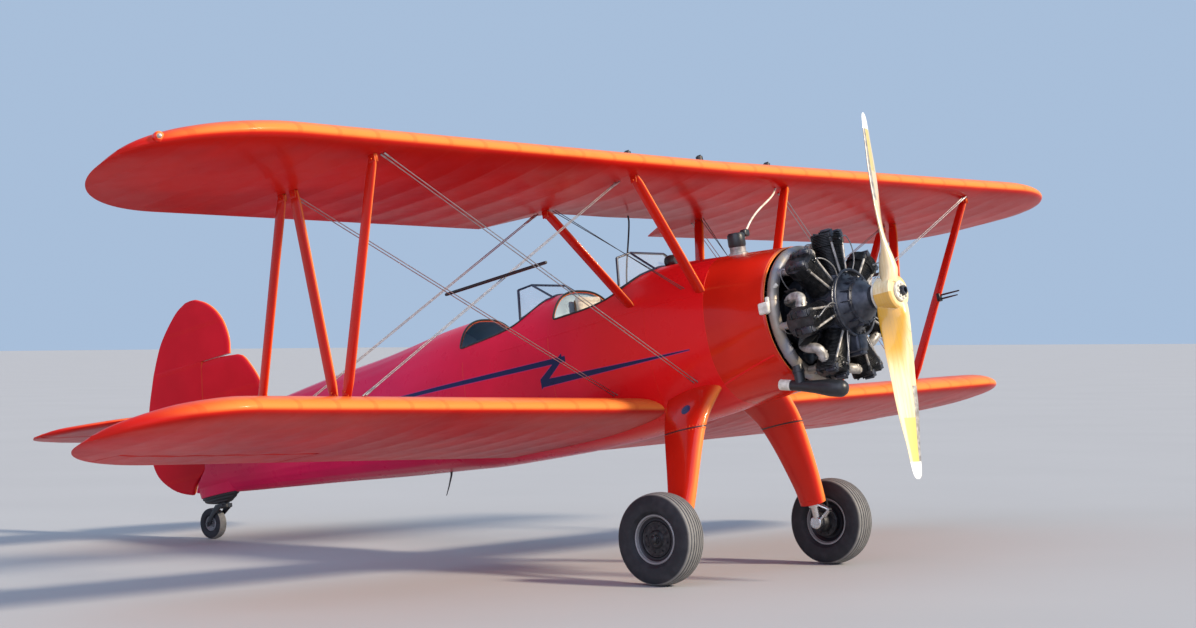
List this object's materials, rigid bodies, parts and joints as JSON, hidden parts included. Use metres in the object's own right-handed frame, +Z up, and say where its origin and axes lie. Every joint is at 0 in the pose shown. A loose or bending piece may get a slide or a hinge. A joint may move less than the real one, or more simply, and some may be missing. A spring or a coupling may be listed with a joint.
{
  "type": "two-seat biplane trainer",
  "caption": "Two-seat biplane with an open radial engine, wooden propeller, wire-braced wings and fixed tail-wheel gear.",
  "frame": {"origin": "middle of the parked aircraft's bounding box, on the floor that its three wheels stand on", "axes": "+X towards the propeller, +Y to the aircraft's left wing tip, +Z up; it is parked nose high on its tail wheel"},
  "size_m": [7.629, 9.7994, 3.1103],
  "materials": {
    "red_fabric": "red doped and polished fabric",
    "red_metal": "red gloss enamel on metal",
    "engine_metal": "black engine enamel with worn bare edges",
    "black_metal": "black enamel",
    "tyre_rubber": "matt black rubber",
    "wheel_silver": "silver wheel casting",
    "bare_steel": "bare steel",
    "varnished_wood": "varnished laminated wood",
    "seat_leather": "pale leather",
    "clear_pane": "clear pane"
  },
  "bodies": {
    "airframe": {"accessory_cowl": "red_metal", "cabane_strut_front_left": "red_metal", "cabane_strut_front_right": "red_metal", "cabane_strut_rear_left": "red_metal", "cabane_strut_rear_right": "red_metal", "engine": "engine_metal", "exhaust_collector": "black_metal", "fin": "red_fabric", "flying_wire_front_left": "bare_steel", "flying_wire_front_right": "bare_steel", "flying_wire_rear_left": "bare_steel", "flying_wire_rear_right": "bare_steel", "fuselage_center": "red_fabric", "fuselage_front": "red_fabric", "fuselage_rear": "red_fabric", "gear_leg_left": "red_metal", "gear_leg_right": "red_metal", "interplane_strut_diagonal_left": "red_metal", "interplane_strut_diagonal_right": "red_metal", "interplane_strut_front_left": "red_metal", "interplane_strut_front_right": "red_metal", "interplane_strut_rear_left": "red_metal", "interplane_strut_rear_right": "red_metal", "landing_wire_front_left": "bare_steel", "landing_wire_front_right": "bare_steel", "landing_wire_rear_left": "bare_steel", "landing_wire_rear_right": "bare_steel", "lower_wing_left": "red_fabric", "lower_wing_right": "red_fabric", "main_axle_left": "bare_steel", "main_axle_right": "bare_steel", "seat_front": "seat_leather", "seat_rear": "seat_leather", "stabilizer_left": "red_fabric", "stabilizer_right": "red_fabric", "tail_wheel_knuckle": "black_metal", "upper_wing_center": "red_fabric", "upper_wing_left": "red_fabric", "upper_wing_right": "red_fabric", "windshield_front": "clear_pane", "windshield_rear": "clear_pane", "wire_spreader_left": "black_metal", "wire_spreader_right": "black_metal"},
    "propeller": {"propeller": "varnished_wood", "propeller_hub": "bare_steel"},
    "main_wheel_right": {"main_tyre_right": "tyre_rubber", "main_rim_right": "wheel_silver"},
    "main_wheel_left": {"main_tyre_left": "tyre_rubber", "main_rim_left": "wheel_silver"},
    "tail_fork": {"tail_wheel_fork": "black_metal"},
    "tail_wheel": {"tail_tyre": "tyre_rubber", "tail_rim": "wheel_silver"},
    "rudder": {"rudder": "red_fabric"},
    "elevators": {"elevator_right": "red_fabric", "elevator_left": "red_fabric"},
    "aileron_right": {"aileron_right": "red_fabric"},
    "aileron_left": {"aileron_left": "red_fabric"}
  },
  "joints": [
    {"name": "propeller_spin", "type": "hinge", "parent": "airframe", "child": "propeller", "pos_m": [3.56413, 0, 1.90267], "axis": [0.98, 0, 0.1988], "continuous": true},
    {"name": "main_wheel_right_spin", "type": "hinge", "parent": "airframe", "child": "main_wheel_right", "pos_m": [2.41051, -0.988, 0.3064], "axis": [0, 1, 0], "continuous": true},
    {"name": "main_wheel_left_spin", "type": "hinge", "parent": "airframe", "child": "main_wheel_left", "pos_m": [2.41051, 0.988, 0.3064], "axis": [0, 1, 0], "continuous": true},
    {"name": "tail_wheel_steer", "type": "hinge", "parent": "airframe", "child": "tail_fork", "pos_m": [-2.89639, 0, 0.30102], "axis": [-0.1988, 0, 0.98], "range_deg": [-30, 30]},
    {"name": "tail_wheel_spin", "type": "hinge", "parent": "tail_fork", "child": "tail_wheel", "pos_m": [-3.02535, 0, 0.1269], "axis": [0, 1, 0], "continuous": true},
    {"name": "rudder_hinge", "type": "hinge", "parent": "airframe", "child": "rudder", "pos_m": [-3.12226, 0, 0.55926], "axis": [-0.0478, 0, 0.9989], "range_deg": [-30, 30]},
    {"name": "elevator_hinge", "type": "hinge", "parent": "airframe", "child": "elevators", "pos_m": [-3.03829, 0, 0.89976], "axis": [0, 1, 0], "range_deg": [-23, 27]},
    {"name": "aileron_right_hinge", "type": "hinge", "parent": "airframe", "child": "aileron_right", "pos_m": [0.78027, -3.37, 0.94884], "axis": [0.0069, 0.9996, -0.0265], "range_deg": [-20, 20]},
    {"name": "aileron_left_hinge", "type": "hinge", "parent": "airframe", "child": "aileron_left", "pos_m": [0.78027, 3.37, 0.94884], "axis": [-0.0069, 0.9996, 0.0265], "range_deg": [-20, 20]}
  ],
  "couplings": [
    {"joint": "aileron_left_hinge", "follows": "aileron_right_hinge", "ratio": -1}
  ]
}
